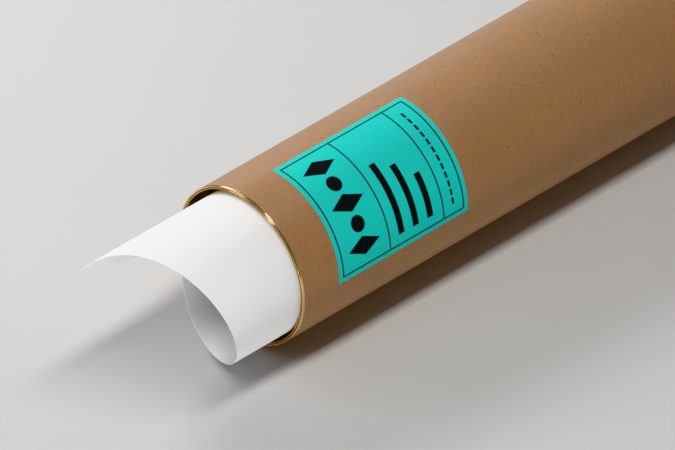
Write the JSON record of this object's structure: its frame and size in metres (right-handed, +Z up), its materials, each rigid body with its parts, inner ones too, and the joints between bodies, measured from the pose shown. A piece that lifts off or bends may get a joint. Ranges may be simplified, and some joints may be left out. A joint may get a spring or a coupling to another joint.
{
  "type": "cardboard mailing tube",
  "caption": "Round kraft board mailing tube with a metal ring on its open mouth, a sunk metal end, a pasted label and a rolled sheet standing out of it.",
  "frame": {"origin": "centre of the tube's foot, on the surface that it stands on", "axes": "+Z up the tube's axis, from the closed end to the mouth; -Y towards the middle of the label"},
  "size_m": [0.1004, 0.1004, 0.706],
  "materials": {
    "kraft_board": "smooth, matt",
    "gold_metal": "polished",
    "teal_paper": "matt",
    "black_ink": "matt",
    "white_paper": "matt"
  },
  "bodies": {
    "root": {"tube_body": "kraft_board", "mouth_ring": "gold_metal", "closed_end": "gold_metal", "label": "teal_paper", "label_print": "black_ink", "rolled_print": "white_paper"}
  },
  "joints": []
}
